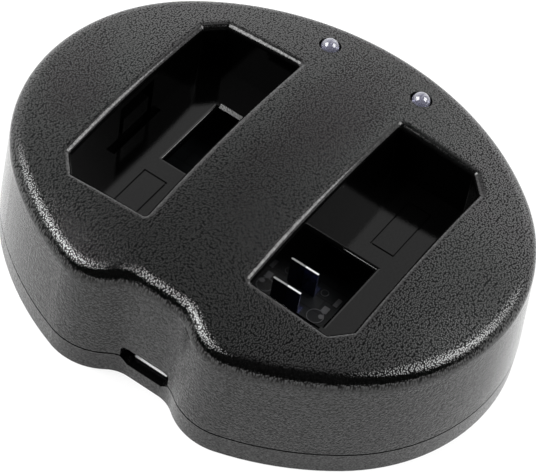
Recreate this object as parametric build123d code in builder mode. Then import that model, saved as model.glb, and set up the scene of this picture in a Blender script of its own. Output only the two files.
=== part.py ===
from build123d import *
import math
import os

# Twin-well battery charger, in millimetres. The case stands on its base cover at z = 0,
# X runs from the left well to the right well, and the power inlet faces -Y.

# Case outline seen from above: tangent arcs, with a notch in front for the power inlet
half_width = 40.34
back_reach = 33.09
front_reach = 33.43
side_radius = 29.09
side_centre_y = -0.20
notch_reach = 28.57
notch_half_width = 2.64
notch_radius = 5.06
lobe_radius = 9.31

# Case heights, drafts and edge radii
parting_height = 4.1
crown_height = 23.57
crown_radius_x = 217.0
crown_radius_y = 140.0
side_draft = 3.0
base_draft = 0.5
top_edge_radius = 2.5
base_edge_radius = 0.15
seam_gap_height = 0.25
seam_gap_depth = 0.45

# Wall thicknesses and fits
case_wall = 1.8
top_wall = 1.8
base_thickness = 1.8
lip_thickness = 1.0
lip_height = 1.3
fit_clearance = 0.15

# Battery wells: the right one is drawn, the left one is the same turned half round
well_inner_x = 8.95
well_side_gap = 16.15
well_length = 37.2
well_floor_top = 12.2
well_floor_thickness = 1.2
well_wall = 1.4
well_chamfer_x = 2.5
well_chamfer_y = 2.75
well_corner_radius = 0.25
rim_radius = 1.1

# Window in each well floor for the contact blades, and the plain engraved frame behind it
window_width = 8.55
window_length = 13.4
window_centre_y = -5.3
window_edge_radius = 0.7
window_lead_in = 0.6
window_lead_in_drop = 0.33
frame_width = 4.1
frame_length = 10.2
frame_inset_x = 5.39
frame_centre_y = 10.1
frame_line = 0.25
frame_depth = 0.25
rib_thickness = 1.4
rib_overlap = 1.0

# Spring finger cut free in the outer wall of each well
finger_width = 6.0
finger_side_gap = 1.0
finger_top = 16.9
finger_pad_height = 3.1
finger_relief = 0.6
finger_root = 9.6
finger_foot = 8.2
finger_opening_top = 19.9
finger_skirt_margin = 2.0
floor_slot_width = 0.7
floor_slot_length = 11.4

# Circuit board
board_thickness = 1.6
board_underside = 3.4
board_edge_gap = 0.5
board_boss_gap = 0.8
board_rest_radius = 1.5
board_rest_inset = 4.0
board_rest_y = 17.0

# Contact blades
blade_width = 2.3
blade_thickness = 0.32
blade_top = 10.1
blade_pitch = 4.5
blade_wall_gap = 0.05
blade_foot_length = 1.8

# Status lamps
lamp_x = 8.09
lamp_setback = 7.52
lamp_diameter = 2.8
lamp_hole_clearance = 0.3
lamp_proud = 0.95
lamp_length = 5.3
lamp_flange_diameter = 3.8
lamp_flange_height = 1.0
lamp_guide_wall = 1.0
lead_side = 0.5
lead_pitch = 2.54
lead_tail = 1.0

# Power inlet socket
socket_width = 7.5
socket_height = 2.5
socket_depth = 5.6
socket_sheet = 0.25
socket_centre_z = 4.25
socket_setback = 1.9
socket_chamfer = 1.0
socket_flare = 0.27
socket_wing_width = 1.5
socket_wing_length = 2.0
inlet_clearance = 0.4
inlet_radius = 0.5
tongue_width = 3.9
tongue_thickness = 0.6
tongue_setback = 0.9
contact_width = 0.35
contact_thickness = 0.1
contact_pitch = 0.65
contact_count = 5

# Case screws and their bosses
screw_side_gap = 10.84
screw_y = 13.0
boss_radius = 2.7
pad_wall = 0.8
boss_foot = 4.6
screw_head_diameter = 4.4
screw_head_height = 1.6
screw_head_sunk = 0.5
screw_shank_diameter = 2.2
screw_reach = 6.5
screw_recess_size = 2.6
screw_recess_width = 0.6
screw_recess_depth = 0.8
screw_clearance = 0.2

# Parts soldered on the board
chip_length = 4.9
chip_width = 3.9
chip_height = 1.5
chip_x = 3.6
chip_y = 6.0
pin_pitch = 1.27
pin_count = 4
pin_width = 0.4
pin_reach = 1.0
pin_thickness = 0.25
coil_size = 6.0
coil_height = 2.8
coil_corner = 1.2
coil_edge_gap = 2.5
coil_y = 8.5
diode_length = 4.3
diode_width = 2.6
diode_height = 2.2
diode_y = 0.5
capacitor_diameter = 5.0
capacitor_height = 7.0
capacitor_rim = 0.5
capacitor_setback = 14.57
chip_part_length = 1.6
chip_part_width = 0.8
chip_part_height = 0.5
resistor_row_setback = 19.09
filter_row_y = 0.0
chip_part_spacing = 2.4
chip_part_count = 4

# Tangent arcs of the case outline, worked out from the radii above
side_centre = Vector(half_width - side_radius, side_centre_y)
back_gap = back_reach - side_centre_y
front_gap = front_reach + side_centre_y
back_radius = (side_centre.X**2 + back_gap**2 - side_radius**2) / (2 * (back_gap - side_radius))
front_radius = (side_centre.X**2 + front_gap**2 - side_radius**2) / (2 * (front_gap - side_radius))
back_centre = Vector(0, back_reach - back_radius)
front_centre = Vector(0, front_radius - front_reach)
back_join = back_centre + (side_centre - back_centre).normalized() * back_radius
front_join = front_centre + (side_centre - front_centre).normalized() * front_radius
notch_centre = Vector(notch_half_width, -notch_reach - notch_radius)
lobe_from_notch = notch_radius + lobe_radius
lobe_from_front = front_radius - lobe_radius
centre_line = front_centre - notch_centre
centre_span = centre_line.length
centre_way = centre_line.normalized()
lobe_along = (lobe_from_notch**2 - lobe_from_front**2 + centre_span**2) / (2 * centre_span)
lobe_across = math.sqrt(lobe_from_notch**2 - lobe_along**2)
lobe_centre = notch_centre + centre_way * lobe_along + Vector(centre_way.Y, -centre_way.X) * lobe_across
notch_join = notch_centre + (lobe_centre - notch_centre).normalized() * notch_radius
lobe_join = front_centre + (lobe_centre - front_centre).normalized() * front_radius

with BuildLine() as case_line:
    flat = Line((0, -notch_reach), (notch_half_width, -notch_reach))
    hollow = TangentArc(flat @ 1, notch_join, tangent=flat % 1)
    lobe = TangentArc(hollow @ 1, lobe_join, tangent=hollow % 1)
    front = TangentArc(lobe @ 1, front_join, tangent=lobe % 1)
    side = TangentArc(front @ 1, back_join, tangent=front % 1)
    back = TangentArc(side @ 1, (0, back_reach), tangent=side % 1)
    mirror(about=Plane.YZ)


def roof(height):
    """Solid that fills everything under a crowned roof whose highest point is at height."""
    axis_height = height - crown_radius_x
    reach = half_width
    sag = crown_radius_y - math.sqrt(crown_radius_y**2 - reach**2)
    with BuildPart() as barrel:
        with BuildSketch(Plane.YZ):
            with BuildLine():
                rim = axis_height - crown_radius_x + sag
                Line((-reach, axis_height), (-reach, rim))
                ThreePointArc((-reach, rim), (0, axis_height - crown_radius_x), (reach, rim))
                Line((reach, rim), (reach, axis_height))
                Line((reach, axis_height), (-reach, axis_height))
            make_face()
        revolve(axis=Axis((0, 0, axis_height), (0, 1, 0)))
    return barrel.part


well_outer_x = half_width - well_side_gap
well_centre_x = (well_inner_x + well_outer_x) / 2
well_floor_underside = well_floor_top - well_floor_thickness
board_top = board_underside + board_thickness
blade_inner_x = well_inner_x + blade_wall_gap
blade_positions = [window_centre_y + blade_pitch / 2, window_centre_y - blade_pitch / 2]
lamp_y = back_reach - lamp_setback
lamp_drop = lamp_x**2 / (2 * crown_radius_x) + lamp_y**2 / (2 * crown_radius_y)
lamp_top = crown_height - lamp_drop + lamp_proud
lamp_foot = lamp_top - lamp_length
lamp_points = [(-lamp_x, lamp_y), (lamp_x, lamp_y)]
screw_x = half_width - screw_side_gap
screw_points = [(x, y) for x in (-screw_x, screw_x) for y in (-screw_y, screw_y)]
lip_outer_inset = case_wall + fit_clearance
board_inset = lip_outer_inset + lip_thickness + board_edge_gap
board_half_width = screw_x - boss_radius - board_boss_gap
board_rest_x = board_half_width - board_rest_inset
coil_x = board_half_width - coil_edge_gap - coil_size / 2
capacitor_y = capacitor_setback - notch_reach
resistor_row_y = back_reach - resistor_row_setback
inlet_width = socket_width + 2 * inlet_clearance
inlet_height = socket_height + 2 * inlet_clearance
inlet_chamfer = socket_chamfer + inlet_clearance / 2
pad_radius = screw_head_diameter / 2 + screw_clearance + pad_wall
screw_head_top = screw_head_sunk + screw_head_height
window_centre_x = well_inner_x + window_width / 2
frame_centre_x = well_inner_x + frame_inset_x + frame_width / 2
finger_opening_width = finger_width + 2 * finger_side_gap
finger_centre_x = well_outer_x + well_wall / 2
socket_front_y = socket_setback - notch_reach
socket_back_y = socket_front_y + socket_depth
socket_lip_width = socket_width - 2 * socket_chamfer
socket_lower_z = socket_centre_z - socket_height / 2
socket_upper_z = socket_centre_z + socket_height / 2
side_planes = {"right": Plane.XY, "left": Plane.XY.rotated((0, 0, 180))}

# Outline of the right well, with the outer corners cut off as on the battery
with BuildSketch() as well_outline:
    with BuildLine():
        Polyline(
            (well_inner_x, -well_length / 2),
            (well_outer_x - well_chamfer_x, -well_length / 2),
            (well_outer_x, -well_length / 2 + well_chamfer_y),
            (well_outer_x, well_length / 2 - well_chamfer_y),
            (well_outer_x - well_chamfer_x, well_length / 2),
            (well_inner_x, well_length / 2),
            close=True,
        )
    make_face()
    fillet(well_outline.vertices(), well_corner_radius)

# Outline of the inlet opening: rounded above, cut off below, as the plug is
with BuildSketch(Plane.XZ.offset(notch_reach - socket_depth)) as inlet_outline:
    with Locations((0, socket_centre_z)):
        Rectangle(inlet_width, inlet_height)
    chamfer(inlet_outline.vertices().group_by(Axis.Y)[0], inlet_chamfer)
    fillet(inlet_outline.vertices().group_by(Axis.Y)[-1], inlet_radius)

# Hollow inside the top shell: what it leaves standing is the wells, bosses, guides and ribs
with BuildPart() as cavity:
    with BuildSketch(Plane.XY.offset(parting_height)):
        make_face(case_line.edges())
        offset(amount=-case_wall, mode=Mode.REPLACE)
    extrude(amount=crown_height, taper=side_draft)
    add(roof(crown_height - top_wall), mode=Mode.INTERSECT)
    with BuildSketch(Plane.XY.offset(well_floor_underside)):
        with PolarLocations(0, 2):
            add(well_outline.sketch)
        offset(amount=well_wall, kind=Kind.INTERSECTION, mode=Mode.REPLACE)
    extrude(amount=crown_height, mode=Mode.SUBTRACT)
    with BuildSketch(Plane.XY.offset(boss_foot)):
        with Locations(*screw_points):
            Circle(boss_radius)
    extrude(amount=crown_height, mode=Mode.SUBTRACT)
    with BuildSketch(Plane.XY.offset(lamp_foot + lamp_flange_height)):
        with Locations(*lamp_points):
            Circle(lamp_diameter / 2 + lamp_hole_clearance + lamp_guide_wall)
    extrude(amount=crown_height, mode=Mode.SUBTRACT)
    with BuildSketch(Plane.XY.offset(board_top + fit_clearance)):
        with PolarLocations(0, 2):
            with Locations((well_inner_x - rib_thickness / 2, window_centre_y)):
                Rectangle(rib_thickness, window_length + 2 * rib_overlap)
    extrude(amount=well_floor_underside - board_top, mode=Mode.SUBTRACT)
    with BuildSketch(Plane.XY.offset(finger_foot)):
        with PolarLocations(0, 2):
            with Locations((finger_centre_x, 0)):
                Rectangle(well_wall, finger_opening_width + 2 * finger_skirt_margin)
    extrude(amount=well_floor_top - finger_foot, mode=Mode.SUBTRACT)

# Wedge cut off the front end of the floor window, where the battery's own ribs lead in
window_front_y = window_centre_y - window_length / 2
with BuildPart() as lead_in:
    with BuildSketch(Plane.YZ.offset(well_inner_x)):
        with BuildLine():
            Polyline(
                (window_front_y, well_floor_top),
                (window_front_y - window_lead_in, well_floor_top),
                (window_front_y, well_floor_top - window_lead_in_drop),
                close=True,
            )
        make_face()
    extrude(amount=window_width)

# Top shell: crowned roof, drafted sides and both battery wells, moulded in one piece
with BuildPart() as top_shell:
    with BuildSketch(Plane.XY.offset(parting_height)):
        make_face(case_line.edges())
    extrude(amount=crown_height, taper=side_draft)
    add(roof(crown_height), mode=Mode.INTERSECT)
    fillet(top_shell.faces().sort_by(Axis.Z)[-1].edges(), top_edge_radius)
    add(cavity.part, mode=Mode.SUBTRACT)
    with BuildSketch(Plane.XY.offset(well_floor_top)):
        with PolarLocations(0, 2):
            add(well_outline.sketch)
    extrude(amount=crown_height, mode=Mode.SUBTRACT)
    rim_edges = top_shell.edges(Select.LAST).filter_by(Axis.Z, reverse=True)
    fillet(rim_edges.filter_by_position(Axis.Z, finger_opening_top, crown_height), rim_radius)
    # Floor window with rounded edges and a sloped lead-in, and the engraved frame
    with BuildSketch(Plane.XY.offset(well_floor_underside)):
        with PolarLocations(0, 2):
            with Locations((window_centre_x, window_centre_y)):
                Rectangle(window_width, window_length)
    extrude(amount=well_floor_thickness, mode=Mode.SUBTRACT)
    window_edges = top_shell.edges(Select.LAST).group_by(Axis.Z)[-1]
    window_ends = window_edges.filter_by(Axis.X).sort_by(lambda edge: abs(edge.center().Y))
    window_sides = window_edges.filter_by(Axis.Y).filter_by(lambda edge: abs(edge.center().X) > window_centre_x)
    fillet(window_ends[:2] + window_sides, window_edge_radius)
    with PolarLocations(0, 2):
        add(lead_in.part, mode=Mode.SUBTRACT)
    with BuildSketch(Plane.XY.offset(well_floor_top - frame_depth)):
        with PolarLocations(0, 2):
            with Locations((frame_centre_x, frame_centre_y)):
                Rectangle(frame_width, frame_length)
                Rectangle(frame_width - 2 * frame_line, frame_length - 2 * frame_line, mode=Mode.SUBTRACT)
    extrude(amount=frame_depth, mode=Mode.SUBTRACT)
    # Spring finger: slits at its sides, an opening over its tip, and its thin root
    with BuildSketch(Plane.XY.offset(finger_root)):
        with PolarLocations(0, 2):
            with Locations((finger_centre_x, 0)):
                with GridLocations(well_wall, finger_width + finger_side_gap, 1, 2):
                    Rectangle(well_wall, finger_side_gap)
    extrude(amount=finger_opening_top - finger_root, mode=Mode.SUBTRACT)
    with BuildSketch(Plane.XY.offset(finger_top)):
        with PolarLocations(0, 2):
            with Locations((finger_centre_x, 0)):
                Rectangle(well_wall, finger_opening_width)
    extrude(amount=finger_opening_top - finger_top, mode=Mode.SUBTRACT)
    with BuildSketch(Plane.XY.offset(finger_root)):
        with PolarLocations(0, 2):
            with Locations((well_outer_x + finger_relief / 2, 0)):
                Rectangle(finger_relief, finger_width)
    extrude(amount=finger_top - finger_pad_height - finger_root, mode=Mode.SUBTRACT)
    with BuildSketch(Plane.XY.offset(well_floor_underside)):
        with PolarLocations(0, 2):
            with Locations((well_outer_x - floor_slot_width / 2, 0)):
                Rectangle(floor_slot_width, floor_slot_length)
    extrude(amount=well_floor_thickness, mode=Mode.SUBTRACT)
    # Lamp holes, screw pilot holes and the inlet
    with BuildSketch(Plane.XY.offset(lamp_foot)):
        with Locations(*lamp_points):
            Circle(lamp_diameter / 2 + lamp_hole_clearance)
    extrude(amount=crown_height, mode=Mode.SUBTRACT)
    with BuildSketch(Plane.XY.offset(boss_foot)):
        with Locations(*screw_points):
            Circle((screw_shank_diameter + screw_clearance / 2) / 2)
    extrude(amount=screw_reach + screw_clearance, mode=Mode.SUBTRACT)
    extrude(inlet_outline.sketch, amount=2 * socket_depth, mode=Mode.SUBTRACT)
top_shell.part.label = "top_shell"
export_step(top_shell.part, "parts/top_shell.step")

# Base cover: flat plate with a low wall, a shadow gap, a locating lip, board rests and screw pads
with BuildPart() as base_cover:
    with BuildSketch(Plane.XY):
        make_face(case_line.edges())
        offset(amount=-parting_height * math.tan(math.radians(base_draft)), mode=Mode.REPLACE)
    extrude(amount=parting_height, taper=-base_draft)
    fillet(base_cover.faces().sort_by(Axis.Z)[0].edges(), base_edge_radius)
    with BuildSketch(Plane.XY.offset(parting_height)):
        make_face(case_line.edges())
        offset(amount=-seam_gap_depth, mode=Mode.SUBTRACT)
    extrude(amount=-seam_gap_height, mode=Mode.SUBTRACT)
    with BuildSketch(Plane.XY.offset(base_thickness)):
        make_face(case_line.edges())
        offset(amount=-case_wall, mode=Mode.REPLACE)
    extrude(amount=parting_height - base_thickness, mode=Mode.SUBTRACT)
    with BuildSketch(Plane.XY.offset(base_thickness)):
        make_face(case_line.edges())
        offset(amount=-lip_outer_inset, mode=Mode.REPLACE)
        offset(amount=-lip_thickness, mode=Mode.SUBTRACT)
    extrude(amount=parting_height + lip_height - base_thickness)
    with BuildSketch(Plane.XY.offset(base_thickness)):
        with Locations(*screw_points):
            Circle(pad_radius)
    extrude(amount=boss_foot - base_thickness)
    with BuildSketch(Plane.XY.offset(base_thickness)):
        with GridLocations(2 * board_rest_x, 2 * board_rest_y, 2, 2):
            Circle(board_rest_radius)
    extrude(amount=board_underside - base_thickness)
    with BuildSketch(Plane.XY):
        with Locations(*screw_points):
            Circle(screw_head_diameter / 2 + screw_clearance)
    extrude(amount=screw_head_top, mode=Mode.SUBTRACT)
    with BuildSketch(Plane.XY):
        with Locations(*screw_points):
            Circle(screw_shank_diameter / 2 + screw_clearance)
    extrude(amount=boss_foot, mode=Mode.SUBTRACT)
    extrude(inlet_outline.sketch, amount=2 * socket_depth, mode=Mode.SUBTRACT)
base_cover.part.label = "base_cover"
export_step(base_cover.part, "parts/base_cover.step")

# Circuit board: follows the inside of the case, with straight sides and a slot for the socket
with BuildPart() as circuit_board:
    with BuildSketch(Plane.XY.offset(board_underside)):
        make_face(case_line.edges())
        offset(amount=-board_inset, mode=Mode.REPLACE)
        Rectangle(2 * board_half_width, 4 * back_reach, mode=Mode.INTERSECT)
        with Locations((0, socket_back_y - socket_depth / 2)):
            Rectangle(socket_width + 2 * fit_clearance, socket_depth + 2 * fit_clearance, mode=Mode.SUBTRACT)
        with Locations(*lamp_points):
            with GridLocations(lead_pitch, 0, 2, 1):
                Circle(lead_side, mode=Mode.SUBTRACT)
    extrude(amount=board_thickness)
circuit_board.part.label = "circuit_board"
export_step(circuit_board.part, "parts/circuit_board.step")

# Power inlet: folded sheet shell with flared lips and two wings soldered on the board
with BuildPart() as usb_shell:
    with BuildSketch(Plane.XZ.offset(-socket_back_y)) as shell_outline:
        with Locations((0, socket_centre_z)):
            Rectangle(socket_width, socket_height)
        chamfer(shell_outline.vertices().group_by(Axis.Y)[0], socket_chamfer)
        fillet(shell_outline.vertices().group_by(Axis.Y)[-1], inlet_radius)
    extrude(amount=socket_depth)
    offset(amount=-socket_sheet, openings=usb_shell.faces().sort_by(Axis.Y)[0])
    # Lips of the mouth, turned out above and below
    for way, edge_z in ((-1, socket_lower_z), (1, socket_upper_z)):
        with BuildSketch(Plane.YZ):
            with BuildLine():
                Polyline(
                    (socket_front_y, edge_z),
                    (socket_front_y - socket_flare, edge_z + way * socket_flare),
                    (socket_front_y - socket_flare, edge_z + way * (socket_flare - socket_sheet)),
                    (socket_front_y, edge_z - way * socket_sheet),
                    close=True,
                )
            make_face()
        extrude(amount=socket_lip_width / 2, both=True)
    with BuildSketch(Plane.XY.offset(board_top)):
        with Locations((0, socket_back_y - socket_wing_length)):
            with GridLocations(socket_width + socket_wing_width - 2 * socket_sheet, 0, 2, 1):
                Rectangle(socket_wing_width, socket_wing_length)
    extrude(amount=socket_sheet)
usb_shell.part.label = "usb_shell"
export_step(usb_shell.part, "parts/usb_shell.step")

# Insulator of the inlet: a block at the back with the contact tongue in front of it
socket_inside_height = socket_height - 2 * socket_sheet
tongue_block_depth = tongue_setback
tongue_block_width = socket_width - 2 * (socket_chamfer + socket_sheet)
tongue_back_y = socket_back_y - socket_sheet
with BuildPart() as usb_tongue:
    with BuildSketch(Plane.XZ.offset(-tongue_back_y)):
        with Locations((0, socket_centre_z)):
            Rectangle(tongue_block_width, socket_inside_height)
    extrude(amount=tongue_block_depth)
    with BuildSketch(Plane.XZ.offset(-tongue_back_y)):
        with Locations((0, socket_centre_z)):
            Rectangle(tongue_width, tongue_thickness)
    extrude(amount=socket_depth - socket_sheet - tongue_setback)
usb_tongue.part.label = "usb_tongue"
export_step(usb_tongue.part, "parts/usb_tongue.step")

# Contact strips under the tongue
strip_length = socket_depth - socket_sheet - tongue_setback - tongue_block_depth
with BuildPart() as usb_contacts:
    with BuildSketch(Plane.XZ.offset(tongue_block_depth - tongue_back_y)):
        with Locations((0, socket_centre_z - (tongue_thickness + contact_thickness) / 2)):
            with GridLocations(contact_pitch, 0, contact_count, 1):
                Rectangle(contact_width, contact_thickness)
    extrude(amount=strip_length)
usb_contacts.part.label = "usb_contacts"
export_step(usb_contacts.part, "parts/usb_contacts.step")

# Status lamps: clear domed bodies with a flange under the guide, and two leads each
for name, (x, y) in zip(("left", "right"), lamp_points):
    with BuildPart() as lamp:
        with BuildSketch(Plane.XZ.offset(-y)):
            with BuildLine():
                radius = lamp_diameter / 2
                Polyline(
                    (x, lamp_top),
                    (x, lamp_foot),
                    (x + lamp_flange_diameter / 2, lamp_foot),
                    (x + lamp_flange_diameter / 2, lamp_foot + lamp_flange_height),
                    (x + radius, lamp_foot + lamp_flange_height),
                    (x + radius, lamp_top - radius),
                )
                RadiusArc((x + radius, lamp_top - radius), (x, lamp_top), -radius)
            make_face()
        revolve(axis=Axis((x, y, 0), (0, 0, 1)))
    lamp.part.label = f"lamp_{name}"
    export_step(lamp.part, f"parts/lamp_{name}.step")

    with BuildPart() as leads:
        with BuildSketch(Plane.XY.offset(board_underside - lead_tail)):
            with Locations((x, y)):
                with GridLocations(lead_pitch, 0, 2, 1):
                    Rectangle(lead_side, lead_side)
        extrude(amount=lamp_foot - board_underside + lead_tail)
    leads.part.label = f"lamp_{name}_leads"
    export_step(leads.part, f"parts/lamp_{name}_leads.step")

# Contact blades: flat strips with a turned foot, standing beside the inner wall of each well
for side_name, plane in side_planes.items():
    for pole, y in zip(("positive", "negative"), blade_positions):
        with BuildPart() as blade:
            with BuildSketch(plane.offset(board_top)):
                with Locations((blade_inner_x, y)):
                    Rectangle(blade_width, blade_thickness, align=(Align.MIN, Align.CENTER))
            extrude(amount=blade_top - board_top)
            with BuildSketch(plane.offset(board_top)):
                with Locations((blade_inner_x, y - blade_thickness / 2)):
                    Rectangle(blade_width, blade_foot_length, align=(Align.MIN, Align.MIN))
            extrude(amount=blade_thickness)
        blade.part.label = f"{side_name}_{pole}_blade"
        export_step(blade.part, f"parts/{side_name}_{pole}_blade.step")

# Charging circuit of each well: controller, coil and diode
for side_name, plane in side_planes.items():
    with BuildPart() as chip:
        with BuildSketch(plane.offset(board_top)):
            with Locations((chip_x, chip_y)):
                Rectangle(chip_width, chip_length)
        extrude(amount=chip_height)
        chamfer(chip.faces().sort_by(Axis.Z)[-1].edges(), pin_thickness)
    chip.part.label = f"charge_chip_{side_name}"
    export_step(chip.part, f"parts/charge_chip_{side_name}.step")

    with BuildPart() as pins:
        with BuildSketch(plane.offset(board_top)):
            with Locations((chip_x, chip_y)):
                with GridLocations(chip_width + pin_reach, pin_pitch, 2, pin_count):
                    Rectangle(pin_reach, pin_width)
        extrude(amount=pin_thickness)
    pins.part.label = f"charge_chip_{side_name}_pins"
    export_step(pins.part, f"parts/charge_chip_{side_name}_pins.step")

    with BuildPart() as coil:
        with BuildSketch(plane.offset(board_top)):
            with Locations((coil_x, coil_y)):
                Rectangle(coil_size, coil_size)
        extrude(amount=coil_height)
        chamfer(coil.edges().filter_by(Axis.Z), coil_corner)
    coil.part.label = f"coil_{side_name}"
    export_step(coil.part, f"parts/coil_{side_name}.step")

    with BuildPart() as diode:
        with BuildSketch(plane.offset(board_top)):
            with Locations((coil_x, diode_y)):
                Rectangle(diode_width, diode_length)
        extrude(amount=diode_height)
        chamfer(diode.faces().sort_by(Axis.Z)[-1].edges(), pin_thickness)
    diode.part.label = f"diode_{side_name}"
    export_step(diode.part, f"parts/diode_{side_name}.step")

# Input capacitor: an upright can with a rounded shoulder
with BuildPart() as input_capacitor:
    with BuildSketch(Plane.XY.offset(board_top)):
        with Locations((0, capacitor_y)):
            Circle(capacitor_diameter / 2)
    extrude(amount=capacitor_height)
    fillet(input_capacitor.faces().sort_by(Axis.Z)[-1].edges(), capacitor_rim)
input_capacitor.part.label = "input_capacitor"
export_step(input_capacitor.part, "parts/input_capacitor.step")

# Rows of small chip parts
for name, row_y in (("chip_resistors", resistor_row_y), ("chip_capacitors", filter_row_y)):
    with BuildPart() as row:
        with BuildSketch(Plane.XY.offset(board_top)):
            with Locations((0, row_y)):
                with GridLocations(chip_part_spacing, 0, chip_part_count, 1):
                    Rectangle(chip_part_width, chip_part_length)
        extrude(amount=chip_part_height)
    row.part.label = name
    export_step(row.part, f"parts/{name}.step")

# Case screws: pan heads sunk in the base cover, shanks up into the bosses
with BuildPart() as case_screws:
    with BuildSketch(Plane.XY.offset(screw_head_sunk)):
        with Locations(*screw_points):
            Circle(screw_head_diameter / 2)
    extrude(amount=screw_head_height)
    with BuildSketch(Plane.XY.offset(screw_head_top)):
        with Locations(*screw_points):
            Circle(screw_shank_diameter / 2)
    extrude(amount=boss_foot + screw_reach - screw_head_top)
    with BuildSketch(Plane.XY.offset(screw_head_sunk)):
        with Locations(*screw_points):
            Rectangle(screw_recess_size, screw_recess_width)
            Rectangle(screw_recess_width, screw_recess_size)
    extrude(amount=screw_recess_depth, mode=Mode.SUBTRACT)
case_screws.part.label = "case_screws"
export_step(case_screws.part, "parts/case_screws.step")
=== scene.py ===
import bpy
from mathutils import Matrix, Vector


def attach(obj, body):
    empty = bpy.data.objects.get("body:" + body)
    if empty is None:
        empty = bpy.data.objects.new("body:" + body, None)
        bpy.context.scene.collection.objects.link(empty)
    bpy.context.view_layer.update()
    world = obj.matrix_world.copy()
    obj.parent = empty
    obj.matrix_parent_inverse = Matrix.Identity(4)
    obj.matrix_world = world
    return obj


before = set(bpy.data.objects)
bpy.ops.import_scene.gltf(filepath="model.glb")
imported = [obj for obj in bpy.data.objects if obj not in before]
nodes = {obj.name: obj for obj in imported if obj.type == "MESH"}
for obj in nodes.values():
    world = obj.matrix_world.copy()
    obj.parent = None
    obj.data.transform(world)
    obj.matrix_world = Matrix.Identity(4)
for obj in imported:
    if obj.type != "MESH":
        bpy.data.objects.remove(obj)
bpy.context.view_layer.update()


# Base cover: the low tray under the parting line, black ABS moulded in a spark-eroded tool.
# Four screws from below hold it to the top shell, and it carries the circuit board.
def finish_material(name, base, rough):
    """A new material: its Principled shader, its node tree and the Object coordinates to lay it by."""
    material = bpy.data.materials.new(name)
    material.use_nodes = True
    tree = material.node_tree
    shader = tree.nodes["Principled BSDF"]
    shader.inputs["Base Color"].default_value = (*base, 1.0)
    shader.inputs["Roughness"].default_value = rough
    place = tree.nodes.new("ShaderNodeTexCoord")
    return material, tree, shader, place.outputs["Object"]


def grey(level):
    """The same level in red, green and blue."""
    return level, level, level


def dress(name, material):
    """Give a CAD node its material."""
    nodes[name].data.materials.clear()
    nodes[name].data.materials.append(material)


def new_group(name, inputs, outputs):
    """An empty shader node group with the named sockets, and its input and output nodes."""
    group = bpy.data.node_groups.new(name, "ShaderNodeTree")
    for side, sockets in (("INPUT", inputs), ("OUTPUT", outputs)):
        for socket, kind in sockets:
            group.interface.new_socket(socket, in_out=side, socket_type="NodeSocket" + kind)
    return group, group.nodes.new("NodeGroupInput"), group.nodes.new("NodeGroupOutput")


def spark_texture_group():
    """Fine matt tool texture: a height for the bump, and colour and roughness that wander a little."""
    group, into, out = new_group(
        "spark_texture",
        (("Place", "Vector"), ("Grains per metre", "Float"), ("Dark", "Color"), ("Light", "Color"),
         ("Smooth", "Float"), ("Rough", "Float")),
        (("Height", "Float"), ("Color", "Color"), ("Roughness", "Float")),
    )
    n = group.nodes
    wire = group.links.new
    fine = n.new("ShaderNodeTexNoise")
    fine.inputs["Detail"].default_value = 2.0
    fine.inputs["Roughness"].default_value = 0.55
    broad = n.new("ShaderNodeTexNoise")
    broad.inputs["Scale"].default_value = 60.0
    broad.inputs["Detail"].default_value = 2.0
    tint = n.new("ShaderNodeMix")
    tint.data_type = "RGBA"
    rough = n.new("ShaderNodeMapRange")
    wire(into.outputs["Place"], fine.inputs["Vector"])
    wire(into.outputs["Grains per metre"], fine.inputs["Scale"])
    wire(into.outputs["Place"], broad.inputs["Vector"])
    wire(fine.outputs["Fac"], out.inputs["Height"])
    wire(fine.outputs["Fac"], tint.inputs["Factor"])
    wire(into.outputs["Dark"], tint.inputs["A"])
    wire(into.outputs["Light"], tint.inputs["B"])
    wire(tint.outputs["Result"], out.inputs["Color"])
    wire(broad.outputs["Fac"], rough.inputs["Value"])
    wire(into.outputs["Smooth"], rough.inputs["To Min"])
    wire(into.outputs["Rough"], rough.inputs["To Max"])
    wire(rough.outputs["Result"], out.inputs["Roughness"])
    return group


spark_texture = spark_texture_group()


def spark(tree, place, grains, dark, light, smooth, rough):
    """Put the fine tool texture into a material and return its node."""
    texture = tree.nodes.new("ShaderNodeGroup")
    texture.node_tree = spark_texture
    texture.inputs["Grains per metre"].default_value = grains
    texture.inputs["Dark"].default_value = (*dark, 1.0)
    texture.inputs["Light"].default_value = (*light, 1.0)
    texture.inputs["Smooth"].default_value = smooth
    texture.inputs["Rough"].default_value = rough
    tree.links.new(place, texture.inputs["Place"])
    return texture


def matt_plastic(name, grains, depth, dark, light, smooth, rough, shine=0.5, gloss=0.0):
    """Moulded plastic or resin with the fine tool texture; gloss is a film left on the crests."""
    material, tree, shader, place = finish_material(name, dark, rough)
    shader.inputs["Specular IOR Level"].default_value = shine
    shader.inputs["Coat Roughness"].default_value = rough
    texture = spark(tree, place, grains, dark, light, smooth, rough)
    bump = tree.nodes.new("ShaderNodeBump")
    bump.inputs["Strength"].default_value = 1.0
    bump.inputs["Distance"].default_value = depth
    crests = tree.nodes.new("ShaderNodeMapRange")
    crests.inputs["From Min"].default_value = 0.3
    crests.inputs["From Max"].default_value = 0.7
    crests.inputs["To Max"].default_value = gloss
    wire = tree.links.new
    wire(texture.outputs["Color"], shader.inputs["Base Color"])
    wire(texture.outputs["Roughness"], shader.inputs["Roughness"])
    wire(texture.outputs["Height"], crests.inputs["Value"])
    wire(crests.outputs["Result"], shader.inputs["Coat Weight"])
    wire(texture.outputs["Height"], bump.inputs["Height"])
    wire(bump.outputs["Normal"], shader.inputs["Normal"])
    return material


base_plastic = matt_plastic("base_plastic", 3200.0, 0.00006, grey(0.0006), grey(0.0020), 0.18, 0.24,
                            shine=0.22, gloss=0.80)
dress("base_cover", base_plastic)


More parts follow.
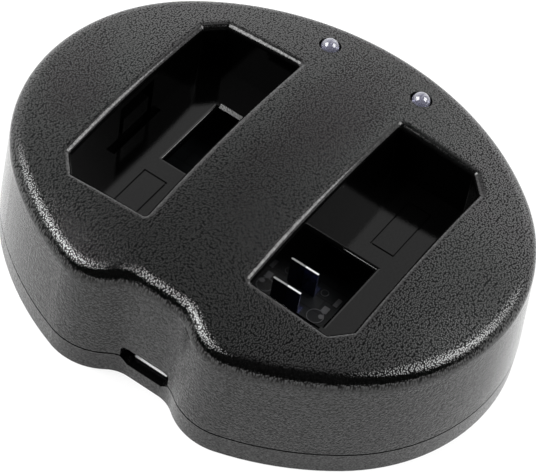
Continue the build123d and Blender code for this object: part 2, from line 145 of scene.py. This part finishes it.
# Circuit board: glass-epoxy sheet with a near-black solder mask over its copper,
# resting on four posts of the base cover. Its edge and copper pours show through the floor windows.
board_mask, tree, shader, place = finish_material("board_mask", (0.006, 0.007, 0.008), 0.35)
pours = tree.nodes.new("ShaderNodeTexBrick")
pours.inputs["Color1"].default_value = (0.006, 0.007, 0.008, 1.0)
pours.inputs["Color2"].default_value = (0.009, 0.010, 0.011, 1.0)
pours.inputs["Mortar"].default_value = (0.002, 0.002, 0.003, 1.0)
pours.inputs["Scale"].default_value = 1000.0
pours.inputs["Mortar Size"].default_value = 0.12
pours.inputs["Brick Width"].default_value = 5.2
pours.inputs["Row Height"].default_value = 2.6
tree.links.new(place, pours.inputs["Vector"])
tree.links.new(pours.outputs["Color"], shader.inputs["Base Color"])
weave = spark(tree, place, 2500.0, grey(0.0), grey(1.0), 0.3, 0.45)
tree.links.new(weave.outputs["Roughness"], shader.inputs["Roughness"])
shader.inputs["Specular IOR Level"].default_value = 0.2
dress("circuit_board", board_mask)


# Solder lands on the board under each floor window: a round land and a via with masked middles, and bare pads.
# Tinned copper and mask, a few hundredths of a millimetre proud of the board; the tin is coloured near black as
# painted shade under the floor.
def drawn_lines_group():
    """Rolled or drawn metal: fine lines along one way, for colour, roughness and bump."""
    group, into, out = new_group(
        "drawn_lines",
        (("Place", "Vector"), ("Stretch", "Vector"), ("Dark", "Color"), ("Light", "Color"),
         ("Smooth", "Float"), ("Rough", "Float")),
        (("Height", "Float"), ("Color", "Color"), ("Roughness", "Float")),
    )
    n = group.nodes
    wire = group.links.new
    scale = n.new("ShaderNodeVectorMath")
    scale.operation = "MULTIPLY"
    lines = n.new("ShaderNodeTexNoise")
    lines.inputs["Scale"].default_value = 1.0
    lines.inputs["Detail"].default_value = 3.0
    tint = n.new("ShaderNodeMix")
    tint.data_type = "RGBA"
    rough = n.new("ShaderNodeMapRange")
    wire(into.outputs["Place"], scale.inputs[0])
    wire(into.outputs["Stretch"], scale.inputs[1])
    wire(scale.outputs["Vector"], lines.inputs["Vector"])
    wire(lines.outputs["Fac"], out.inputs["Height"])
    wire(lines.outputs["Fac"], tint.inputs["Factor"])
    wire(into.outputs["Dark"], tint.inputs["A"])
    wire(into.outputs["Light"], tint.inputs["B"])
    wire(tint.outputs["Result"], out.inputs["Color"])
    wire(lines.outputs["Fac"], rough.inputs["Value"])
    wire(into.outputs["Smooth"], rough.inputs["To Min"])
    wire(into.outputs["Rough"], rough.inputs["To Max"])
    wire(rough.outputs["Result"], out.inputs["Roughness"])
    return group


drawn_lines = drawn_lines_group()


def metal(name, dark, light, smooth, rough, stretch):
    """Metal with drawn or rolled lines; stretch gives the lines per metre along each axis."""
    material, tree, shader, place = finish_material(name, light, rough)
    shader.inputs["Metallic"].default_value = 1.0
    lines = tree.nodes.new("ShaderNodeGroup")
    lines.node_tree = drawn_lines
    lines.inputs["Stretch"].default_value = stretch
    lines.inputs["Dark"].default_value = (*dark, 1.0)
    lines.inputs["Light"].default_value = (*light, 1.0)
    lines.inputs["Smooth"].default_value = smooth
    lines.inputs["Rough"].default_value = rough
    wire = tree.links.new
    wire(place, lines.inputs["Place"])
    wire(lines.outputs["Color"], shader.inputs["Base Color"])
    wire(lines.outputs["Roughness"], shader.inputs["Roughness"])
    return material


def finish_piece(piece, name, material):
    """Recalculate a new piece's normals, name it, and hang it on the charger."""
    bpy.ops.object.mode_set(mode="EDIT")
    bpy.ops.mesh.select_all(action="SELECT")
    bpy.ops.mesh.normals_make_consistent(inside=False)
    bpy.ops.object.mode_set(mode="OBJECT")
    bpy.ops.object.transform_apply(location=True, rotation=True, scale=True)
    piece.name = name
    piece.data.name = name
    piece.data.materials.clear()
    piece.data.materials.append(material)
    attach(piece, "root")


def soften_edges():
    """Break every edge of the new piece by two hundredths of a millimetre."""
    bpy.ops.object.mode_set(mode="EDIT")
    bpy.ops.mesh.select_all(action="SELECT")
    bpy.ops.mesh.bevel(offset=0.00002, segments=2, affect="EDGES")
    bpy.ops.object.mode_set(mode="OBJECT")


# Tin coloured near black: painted shade on the lands deep under the floor
shade_darkened_tin = metal("shade_darkened_tin", (0.07, 0.07, 0.075), (0.14, 0.14, 0.145), 0.35, 0.55, (900.0, 900.0, 900.0))
board_top = 0.0050
land_thickness = 0.00006
land_lift = 0.000015
mask_lift = 0.000025
middle_lift = 0.000035
for side, turn in (("right", 1.0), ("left", -1.0)):
    for land, radius, at, lift, material in (
        ("land", 0.00130, (0.01337, -0.00585), land_lift, shade_darkened_tin),
        ("land_mask", 0.00119, (0.01337, -0.00585), mask_lift, board_mask),
        ("land_middle", 0.00042, (0.01412, -0.00545), middle_lift, shade_darkened_tin),
        ("via", 0.00060, (0.0121, -0.0015), land_lift, shade_darkened_tin),
        ("via_mask", 0.00052, (0.0121, -0.0015), mask_lift, board_mask),
    ):
        bpy.ops.object.select_all(action="DESELECT")
        bpy.ops.mesh.primitive_cylinder_add(
            vertices=64, radius=radius, depth=land_thickness,
            location=(turn * at[0], turn * at[1], board_top + lift))
        disc = bpy.context.object
        soften_edges()
        finish_piece(disc, side + "_" + land, material)

    for pad_name, at, size in (("test_pad", (0.01390, -0.00405), (0.0010, 0.0013)),
                               ("coil_pad", (0.01457, -0.00185), (0.0007, 0.0016))):
        bpy.ops.object.select_all(action="DESELECT")
        bpy.ops.mesh.primitive_cube_add(size=1.0, location=(turn * at[0], turn * at[1], board_top + land_lift))
        pad = bpy.context.object
        pad.scale = (size[0], size[1], land_thickness)
        bpy.ops.object.transform_apply(location=False, rotation=False, scale=True)
        soften_edges()
        finish_piece(pad, side + "_" + pad_name, shade_darkened_tin)


# Power inlet: a folded sheet shell with flared lips, soldered on the board by its wings; the shell is coloured near
# black as painted shade of the inlet's recess.
# Its lower lip's flared face is painted near white as a highlight. Inside, a black resin tongue carries five
# gold-flashed strips.
# Near-black nickel: painted shade inside the inlet
painted_shade_nickel = metal("painted_shade_nickel", (0.012, 0.012, 0.014), (0.030, 0.030, 0.034), 0.26, 0.34, (400.0, 6000.0, 6000.0))
# Near-white tin: a painted highlight on the inlet's lower lip and on the blades' top faces
painted_highlight_tin = metal("painted_highlight_tin", (0.90, 0.90, 0.91), (0.96, 0.96, 0.96), 0.5, 0.6, (3000.0, 800.0, 3000.0))
painted_highlight_tin.node_tree.nodes["Principled BSDF"].inputs["Metallic"].default_value = 0.1
dress("usb_shell", painted_shade_nickel)
inlet_mesh = nodes["usb_shell"].data
inlet_mesh.materials.append(painted_highlight_tin)
# The flared face of the lower lip gets the painted highlight
for face in inlet_mesh.polygons:
    lower_lip = face.center.y < -0.0265 and face.center.z < 0.0034
    face.material_index = 1 if lower_lip and face.normal.y < -0.6 and face.normal.z > 0.6 else 0
tongue_resin = matt_plastic("tongue_resin", 3000.0, 0.00001, grey(0.003), grey(0.008), 0.4, 0.5)
dress("usb_tongue", tongue_resin)
gold_flash = metal("gold_flash", (0.72, 0.50, 0.20), (0.88, 0.66, 0.30), 0.15, 0.25, (6000.0, 500.0, 6000.0))
dress("usb_contacts", gold_flash)


# Charging circuit on the board: a controller with tinned pins, a ferrite coil and a diode for each well,
# one input capacitor in its aluminium can, and two rows of ceramic chip parts.
chip_resin = matt_plastic("chip_resin", 5000.0, 0.00001, (0.010, 0.010, 0.011), (0.022, 0.022, 0.024), 0.5, 0.65)
pin_tin = metal("pin_tin", (0.60, 0.60, 0.60), (0.75, 0.75, 0.76), 0.28, 0.4, (3000.0, 800.0, 3000.0))
ferrite = matt_plastic("ferrite", 3500.0, 0.00002, (0.030, 0.029, 0.028), (0.060, 0.058, 0.056), 0.55, 0.7)
can_sleeve = metal("can_sleeve", (0.66, 0.66, 0.68), (0.80, 0.80, 0.82), 0.22, 0.34, (4000.0, 4000.0, 300.0))
ceramic = matt_plastic("ceramic", 2500.0, 0.00001, (0.22, 0.15, 0.09), (0.32, 0.23, 0.14), 0.4, 0.55)
for side in ("left", "right"):
    dress("charge_chip_" + side, chip_resin)
    dress("charge_chip_" + side + "_pins", pin_tin)
    dress("coil_" + side, ferrite)
    dress("diode_" + side, chip_resin)
dress("input_capacitor", can_sleeve)
dress("chip_resistors", ceramic)
dress("chip_capacitors", ceramic)


# Contact blades: strips of dark-plated bronze with a turned foot on the board, two beside each inner well wall.
# Their sheared upper edges are painted near white as a highlight.
blade_plate = metal("blade_plate", (0.06, 0.07, 0.15), (0.10, 0.11, 0.21), 0.08, 0.14, (5000.0, 5000.0, 300.0))
blade_plate.node_tree.nodes["Principled BSDF"].inputs["Metallic"].default_value = 0.7
edge_height = 0.0100
for side in ("left", "right"):
    for pole in ("positive", "negative"):
        dress(side + "_" + pole + "_blade", blade_plate)
        blade_mesh = nodes[side + "_" + pole + "_blade"].data
        blade_mesh.materials.append(painted_highlight_tin)
        # The up-facing top faces get the painted highlight
        for face in blade_mesh.polygons:
            face.material_index = 1 if face.center.z > edge_height and face.normal.z > 0.9 else 0


# Status lamps: faintly blue epoxy bodies cast round a lead frame, pushed up into guides of the top shell.
# The frame's dished post and its wire post stand inside the resin, and the leads go down to the board.
lamp_epoxy, tree, shader, place = finish_material("lamp_epoxy", (0.40, 0.40, 0.50), 0.05)
shader.inputs["IOR"].default_value = 1.5
shader.inputs["Transmission Weight"].default_value = 0.65
shader.inputs["Coat Weight"].default_value = 1.0
cloud = spark(tree, place, 700.0, (0.20, 0.20, 0.27), (0.32, 0.32, 0.41), 0.04, 0.08)
tree.links.new(cloud.outputs["Color"], shader.inputs["Base Color"])
tree.links.new(cloud.outputs["Roughness"], shader.inputs["Roughness"])
lead_tin = metal("lead_tin", (0.62, 0.62, 0.63), (0.78, 0.78, 0.80), 0.18, 0.3, (5000.0, 5000.0, 300.0))
for side, way in (("left", -1.0), ("right", 1.0)):
    dress("lamp_" + side, lamp_epoxy)
    dress("lamp_" + side + "_leads", lead_tin)
    lamp_x = way * 0.00809
    lamp_y = 0.02557
    bpy.ops.object.select_all(action="DESELECT")
    bpy.ops.mesh.primitive_cone_add(
        vertices=32, radius1=0.00045, radius2=0.00085, depth=0.0010, location=(lamp_x + 0.0002, lamp_y, 0.0196))
    cup = bpy.context.object
    bpy.ops.object.mode_set(mode="EDIT")
    bpy.ops.mesh.select_all(action="DESELECT")
    bpy.ops.object.mode_set(mode="OBJECT")
    for face in cup.data.polygons:
        face.select = face.normal.z > 0.9
    bpy.ops.object.mode_set(mode="EDIT")
    bpy.ops.mesh.inset(thickness=0.00012)
    bpy.ops.mesh.inset(thickness=0.00030, depth=-0.00040)
    bpy.ops.object.mode_set(mode="OBJECT")
    finish_piece(cup, "lamp_" + side + "_cup", lead_tin)


# Top shell: roof, sides and both wells in one moulding of black ABS.
# The roof is leather grained, the sides are matt, the rims are smooth and the wells come off polished cores.
shell_skin, tree, shader, place = finish_material("shell_skin", grey(0.002), 0.2)
wire = tree.links.new


def sums(tree, operation, first, second):
    """A Math node on two values, each a socket or a number."""
    node = tree.nodes.new("ShaderNodeMath")
    node.operation = operation
    for socket, value in zip(node.inputs, (first, second)):
        if isinstance(value, float):
            socket.default_value = value
        else:
            tree.links.new(value, socket)
    return node.outputs["Value"]


def ramp(tree, value, low, high):
    """A smooth step from 0 at low to 1 at high."""
    node = tree.nodes.new("ShaderNodeMapRange")
    node.interpolation_type = "SMOOTHSTEP"
    node.inputs["From Min"].default_value = low
    node.inputs["From Max"].default_value = high
    tree.links.new(value, node.inputs["Value"])
    return node.outputs["Result"]


# The crown falls away as x and y squared over these lengths, from the top of the roof
crown_x, crown_y, roof_top = 0.434, 0.280, 0.02357
# Each well rim: its middle and half width across, its half length, and where its corner cut starts
rim_middle, rim_half_width, rim_half_length, corner_start = 0.01657, 0.00762, 0.0186, 0.02169
axes = tree.nodes.new("ShaderNodeSeparateXYZ")
wire(place, axes.inputs["Vector"])
x, y, z = axes.outputs
sag_x = sums(tree, "DIVIDE", sums(tree, "MULTIPLY", x, x), crown_x)
sag_y = sums(tree, "DIVIDE", sums(tree, "MULTIPLY", y, y), crown_y)
roof_height = sums(tree, "ADD", z, sums(tree, "ADD", sag_x, sag_y))
on_roof = ramp(tree, roof_height, 0.0209, 0.0212)
from_middle = sums(tree, "ABSOLUTE", x, 0.0)
from_centre = sums(tree, "ABSOLUTE", y, 0.0)
across = sums(tree, "ABSOLUTE", sums(tree, "SUBTRACT", from_middle, rim_middle), 0.0)
past_side = sums(tree, "SUBTRACT", across, rim_half_width)
past_end = sums(tree, "SUBTRACT", from_centre, rim_half_length)
past_corner = sums(tree, "ADD",
                   sums(tree, "MULTIPLY", sums(tree, "SUBTRACT", from_middle, corner_start), 0.7399),
                   sums(tree, "MULTIPLY", past_end, 0.6726))
past_rim = sums(tree, "MAXIMUM", sums(tree, "MAXIMUM", past_side, past_end), past_corner)
off_rim = ramp(tree, past_rim, 0.0007, 0.0011)
grained = sums(tree, "MULTIPLY", ramp(tree, roof_height, 0.0216, 0.0225), off_rim)

wander = tree.nodes.new("ShaderNodeTexNoise")
wander.inputs["Scale"].default_value = 2200.0
wander.inputs["Detail"].default_value = 1.0
shift = tree.nodes.new("ShaderNodeVectorMath")
shift.operation = "MULTIPLY_ADD"
shift.inputs[1].default_value = (0.00012, 0.00012, 0.00012)
pebble = tree.nodes.new("ShaderNodeTexVoronoi")
pebble.voronoi_dimensions = "2D"
pebble.feature = "F1"
pebble.inputs["Scale"].default_value = 3700.0
leather = tree.nodes.new("ShaderNodeBump")
leather.invert = True
leather.inputs["Distance"].default_value = 0.000031
wire(place, wander.inputs["Vector"])
wire(wander.outputs["Color"], shift.inputs[0])
wire(place, shift.inputs[2])
wire(shift.outputs["Vector"], pebble.inputs["Vector"])
wire(pebble.outputs["Distance"], leather.inputs["Height"])
wire(grained, leather.inputs["Strength"])
skin = spark(tree, place, 3200.0, grey(0.0005), grey(0.0015), 0.10, 0.15)
matt = tree.nodes.new("ShaderNodeBump")
matt.inputs["Distance"].default_value = 0.00018
wire(skin.outputs["Height"], matt.inputs["Height"])
wire(sums(tree, "SUBTRACT", 1.0, on_roof), matt.inputs["Strength"])
wire(leather.outputs["Normal"], matt.inputs["Normal"])
wire(matt.outputs["Normal"], shader.inputs["Normal"])
wire(skin.outputs["Color"], shader.inputs["Base Color"])
wire(skin.outputs["Roughness"], shader.inputs["Roughness"])
# The crests of the pebbles shine and the creases between them are dulled, partly the grain's own dull creases and
# partly painted shade; the pits of the matt sides are dulled the same way
shine = tree.nodes.new("ShaderNodeMapRange")
shine.inputs["From Min"].default_value = 0.1
shine.inputs["From Max"].default_value = 0.65
shine.inputs["To Min"].default_value = 0.94
shine.inputs["To Max"].default_value = 0.08
wire(pebble.outputs["Distance"], shine.inputs["Value"])
level = tree.nodes.new("ShaderNodeMix")
level.inputs["A"].default_value = 0.22
wire(grained, level.inputs["Factor"])
wire(shine.outputs["Result"], level.inputs["B"])
wire(level.outputs["Result"], shader.inputs["Specular IOR Level"])
# Seen along the wall, the fine pits close up and the matt sides shine more
slant = tree.nodes.new("ShaderNodeLayerWeight")
slant.inputs["Blend"].default_value = 0.5
along = sums(tree, "MULTIPLY", ramp(tree, slant.outputs["Facing"], 0.55, 0.9), 0.8)
crests = sums(tree, "MULTIPLY", ramp(tree, skin.outputs["Height"], 0.3, 0.7), 0.66)
film = sums(tree, "MAXIMUM", along, crests)
wire(sums(tree, "MULTIPLY", film, sums(tree, "SUBTRACT", 1.0, grained)), shader.inputs["Coat Weight"])
shader.inputs["Coat Roughness"].default_value = 0.2

# Polished by the cores: the floors, the outer and end walls, and the inner walls that mirror the blades
well_floor = matt_plastic("well_floor", 5000.0, 0.000006, grey(0.0005), grey(0.0011), 0.05, 0.09,
                          shine=0.33, gloss=0.35)
well_wall = matt_plastic("well_wall", 3000.0, 0.000002, grey(0.0003), grey(0.0006), 0.06, 0.10, shine=0.02)
well_mirror = matt_plastic("well_mirror", 3000.0, 0.000001, grey(0.0003), grey(0.0006), 0.02, 0.04,
                           shine=1.0, gloss=0.5)
shell_mesh = nodes["top_shell"].data
shell_mesh.materials.clear()
for material in (shell_skin, well_floor, well_wall, well_mirror):
    shell_mesh.materials.append(material)
skin_slot, floor_slot, wall_slot, mirror_slot = range(4)
rim_depth = 0.001
for face in shell_mesh.polygons:
    at = face.center
    in_well = 0.0084 < abs(at.x) < 0.0258 and abs(at.y) < 0.0202
    under_rim = at.z < roof_top - at.x ** 2 / crown_x - at.y ** 2 / crown_y - rim_depth
    if not (in_well and under_rim):
        face.material_index = skin_slot
    elif face.normal.z > 0.2 and 0.0108 < at.z < 0.0123:
        face.material_index = floor_slot
    elif abs(face.normal.x) > 0.9 and abs(at.x) < 0.0092:
        face.material_index = mirror_slot
    else:
        face.material_index = wall_slot


# Case screws: zinc-plated pan heads with a cross recess, sunk in the base cover and driven into the bosses.
screw_zinc = metal("screw_zinc", (0.50, 0.50, 0.50), (0.66, 0.66, 0.65), 0.25, 0.4, (2500.0, 2500.0, 900.0))
dress("case_screws", screw_zinc)


# Studio: a plain white table, a white sweep behind, a darker room on the camera's side and overhead,
# and one soft box on each side of the camera.
bpy.ops.object.select_all(action="DESELECT")
bpy.ops.mesh.primitive_plane_add(size=6.0, location=(0, 0, 0))
table = bpy.context.object
table.name = "table"
white_table, tree, shader, place = finish_material("white_table", grey(0.95), 0.9)
path = tree.nodes.new("ShaderNodeLightPath")
glow = tree.nodes.new("ShaderNodeEmission")
glow.inputs["Strength"].default_value = 1.0
seen = sums(tree, "MAXIMUM", path.outputs["Is Camera Ray"], path.outputs["Is Glossy Ray"])
seen = sums(tree, "MAXIMUM", seen, path.outputs["Is Transmission Ray"])
both = tree.nodes.new("ShaderNodeMixShader")
white_share = 0.78
tree.links.new(sums(tree, "MULTIPLY", seen, white_share), both.inputs["Fac"])
tree.links.new(shader.outputs["BSDF"], both.inputs[1])
tree.links.new(glow.outputs["Emission"], both.inputs[2])
tree.links.new(both.outputs["Shader"], tree.nodes["Material Output"].inputs["Surface"])
table.data.materials.append(white_table)

world = bpy.data.worlds.new("studio")
bpy.context.scene.world = world
world.use_nodes = True
tree = world.node_tree
direction = tree.nodes.new("ShaderNodeTexCoord").outputs["Generated"]
height = tree.nodes.new("ShaderNodeSeparateXYZ")
tree.links.new(direction, height.inputs["Vector"])


def grey_ramp(tree, stops):
    """A colour ramp of plain greys from (place, level) pairs in order."""
    node = tree.nodes.new("ShaderNodeValToRGB")
    elements = node.color_ramp.elements
    elements[0].position = stops[0][0]
    elements[1].position = stops[-1][0]
    for at, level in stops[1:-1]:
        elements.new(at)
    for element, (at, level) in zip(elements, stops):
        element.color = (*grey(level), 1.0)
    return node


sweep = grey_ramp(tree, ((0.0, 1.1), (0.3, 1.36), (0.48, 1.36), (0.6, 0.86), (0.66, 0.70), (0.77, 0.66),
                         (0.845, 0.56), (0.868, 0.24), (0.885, 0.09), (0.91, 0.05), (1.0, 0.07)))
tree.links.new(height.outputs["Z"], sweep.inputs["Fac"])
toward_back = tree.nodes.new("ShaderNodeVectorMath")
toward_back.operation = "DOT_PRODUCT"
toward_back.inputs[1].default_value = (-0.457, 0.889, 0.0)
tree.links.new(direction, toward_back.inputs[0])
room = tree.nodes.new("ShaderNodeMix")
room.data_type = "RGBA"
room.inputs["A"].default_value = (0.03, 0.03, 0.03, 1.0)
behind = ramp(tree, toward_back.outputs["Value"], -0.35, 0.2)
tree.links.new(behind, room.inputs["Factor"])
tree.links.new(sweep.outputs["Color"], room.inputs["B"])
# The tent over the table is lit from both sides, with a darker seam above the middle
wings = grey_ramp(tree, ((0.27, 0.5), (0.30, 0.24), (0.34, 0.0), (0.38, 0.0), (0.42, 0.25), (0.46, 0.9),
                         (0.49, 1.3), (0.54, 1.3), (0.60, 0.4), (0.65, 0.05)))
tree.links.new(sums(tree, "ADD", sums(tree, "MULTIPLY", height.outputs["X"], 0.5), 0.5), wings.inputs["Fac"])
tent = tree.nodes.new("ShaderNodeMix")
tent.data_type = "RGBA"
tent.blend_type = "ADD"
tree.links.new(behind, tent.inputs["Factor"])
tree.links.new(room.outputs["Result"], tent.inputs["A"])
tree.links.new(wings.outputs["Color"], tent.inputs["B"])
tree.links.new(tent.outputs["Result"], tree.nodes["Background"].inputs["Color"])


def soft_box(name, place, width, height, power):
    """A rectangular soft box that faces the charger."""
    lamp = bpy.data.lights.new(name, "AREA")
    lamp.shape = "RECTANGLE"
    lamp.size = width
    lamp.size_y = height
    lamp.energy = power
    stand = bpy.data.objects.new(name, lamp)
    bpy.context.collection.objects.link(stand)
    stand.location = place
    stand.rotation_euler = Vector(place).to_track_quat("Z", "Y").to_euler()


soft_box("left_soft_box", (-0.525, -0.335, 0.655), 0.66, 0.55, 12.5)
soft_box("right_soft_box", (0.580, 0.285, 0.655), 0.66, 0.58, 10.0)

# Camera at the photograph's place: a long lens from the front right, tipped a little
camera_data = bpy.data.cameras.new("camera")
camera_data.sensor_fit = "HORIZONTAL"
camera_data.sensor_width = 36.0
camera_data.lens = 182.06
camera_data.clip_start = 0.01
camera = bpy.data.objects.new("camera", camera_data)
bpy.context.collection.objects.link(camera)
camera.matrix_world = Matrix((
    (0.81148, -0.50557, 0.29309, 0.11567),
    (0.57273, 0.58844, -0.57072, -0.22391),
    (0.11607, 0.63099, 0.76706, 0.30796),
    (0.0, 0.0, 0.0, 1.0),
))
bpy.context.scene.camera = camera
bpy.context.scene.view_settings.view_transform = "Standard"
